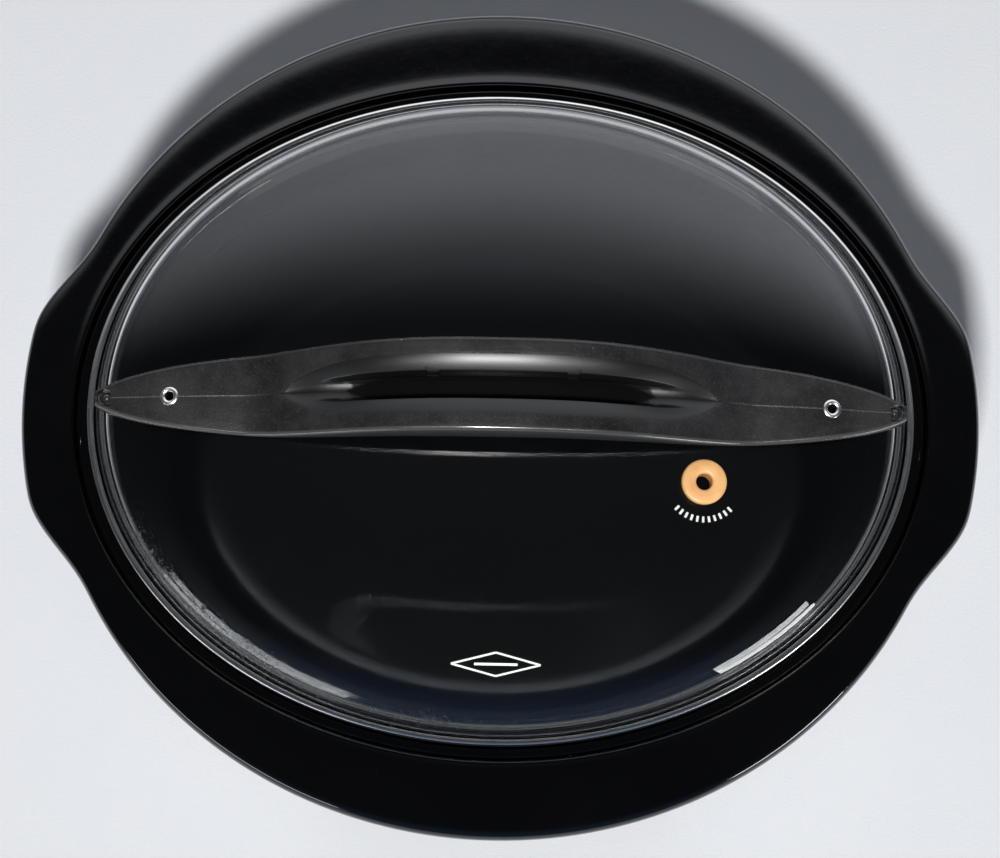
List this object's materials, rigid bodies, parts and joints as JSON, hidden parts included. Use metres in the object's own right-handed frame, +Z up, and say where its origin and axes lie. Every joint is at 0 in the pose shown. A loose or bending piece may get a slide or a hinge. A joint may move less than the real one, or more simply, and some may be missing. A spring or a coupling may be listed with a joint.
{
  "type": "oval slow cooker",
  "caption": "Oval slow cooker: glazed stoneware crock with end lugs, clear domed lid with a strap handle and probe grommet, and a heated base with push-button controls.",
  "frame": {"origin": "centre of the cooker on the surface it stands on, at the bottom of the feet", "axes": "+X along the oval's long axis to the right as seen from the front, -Y towards the front with the controls, +Z up"},
  "size_m": [0.3618, 0.318, 0.2407],
  "materials": {
    "glaze": "glazed",
    "clear_glass": "clear",
    "polished_steel": "polished",
    "brushed_housing": "brushed",
    "screw_steel": "plated",
    "aluminised_steel": "matt",
    "black_plastic": "finely textured",
    "grey_silicone": "matt",
    "tan_silicone": "matt",
    "black_rubber": "matt",
    "mica_band": "matt",
    "glass_wool": "woven",
    "ceramic": "matt",
    "dark_lens": "smoked",
    "module_grey": "smooth",
    "amber_lamp": "clear",
    "circuit_board": "satin",
    "switch_black": "moulded",
    "ribbon": "flat",
    "relay_blue": "moulded",
    "coil_yellow": "taped",
    "terminal_green": "moulded",
    "lead_sleeve": "braided",
    "red_button": "satin",
    "grey_button": "satin"
  },
  "bodies": {
    "base": {"base_pan": "black_plastic", "rubber_feet": "black_rubber", "foot_screws": "screw_steel", "housing_shell": "brushed_housing", "rim_trim": "black_plastic", "heating_liner": "aluminised_steel", "heater_band": "mica_band", "band_clamp_bolts": "screw_steel", "band_clamp_nuts": "screw_steel", "insulation_wrap": "glass_wool", "heat_shield": "aluminised_steel", "tie_stud": "screw_steel", "tie_nut": "screw_steel", "thermal_cutoff": "ceramic", "temperature_sensor": "screw_steel", "left_grip": "black_plastic", "right_grip": "black_plastic", "grip_screws": "screw_steel", "control_bezel": "black_plastic", "display_lens": "dark_lens", "display_module": "module_grey", "indicator_lamps": "amber_lamp", "control_board": "circuit_board", "tact_switches": "switch_black", "board_screws": "screw_steel", "ribbon_cable": "ribbon", "power_board": "circuit_board", "relay": "relay_blue", "transformer": "coil_yellow", "terminal_block": "terminal_green", "heater_leads": "lead_sleeve", "probe_jack": "polished_steel", "cord_gland": "black_plastic"},
    "crock": {"crock": "glaze"},
    "lid": {"lid_glass": "clear_glass", "lid_rim_band": "polished_steel", "lid_gasket": "grey_silicone", "lid_handle": "black_plastic", "handle_washers": "grey_silicone", "lid_rivets": "polished_steel", "probe_grommet": "tan_silicone"},
    "power_button": {"power_button": "red_button"},
    "mode_button": {"mode_button": "grey_button"},
    "minus_button": {"minus_button": "grey_button"},
    "plus_button": {"plus_button": "grey_button"},
    "start_button": {"start_button": "grey_button"}
  },
  "joints": [
    {"name": "crock_lift", "type": "slide", "parent": "base", "child": "crock", "axis": [0, 0, 1], "range_m": [0, 0.16]},
    {"name": "lid_lift", "type": "slide", "parent": "crock", "child": "lid", "axis": [0, 0, 1], "range_m": [0, 0.1]},
    {"name": "power_press", "type": "slide", "parent": "base", "child": "power_button", "axis": [0.0733, 0.9973, 0], "range_m": [0, 0.001], "stiffness_N_per_m": 400, "springref_m": -0.0005},
    {"name": "mode_press", "type": "slide", "parent": "base", "child": "mode_button", "axis": [0.0367, 0.9993, 0], "range_m": [0, 0.001], "stiffness_N_per_m": 400, "springref_m": -0.0005},
    {"name": "minus_press", "type": "slide", "parent": "base", "child": "minus_button", "axis": [0, 1, 0], "range_m": [0, 0.001], "stiffness_N_per_m": 400, "springref_m": -0.0005},
    {"name": "plus_press", "type": "slide", "parent": "base", "child": "plus_button", "axis": [-0.0367, 0.9993, 0], "range_m": [0, 0.001], "stiffness_N_per_m": 400, "springref_m": -0.0005},
    {"name": "start_press", "type": "slide", "parent": "base", "child": "start_button", "axis": [-0.0733, 0.9973, 0], "range_m": [0, 0.001], "stiffness_N_per_m": 400, "springref_m": -0.0005}
  ]
}
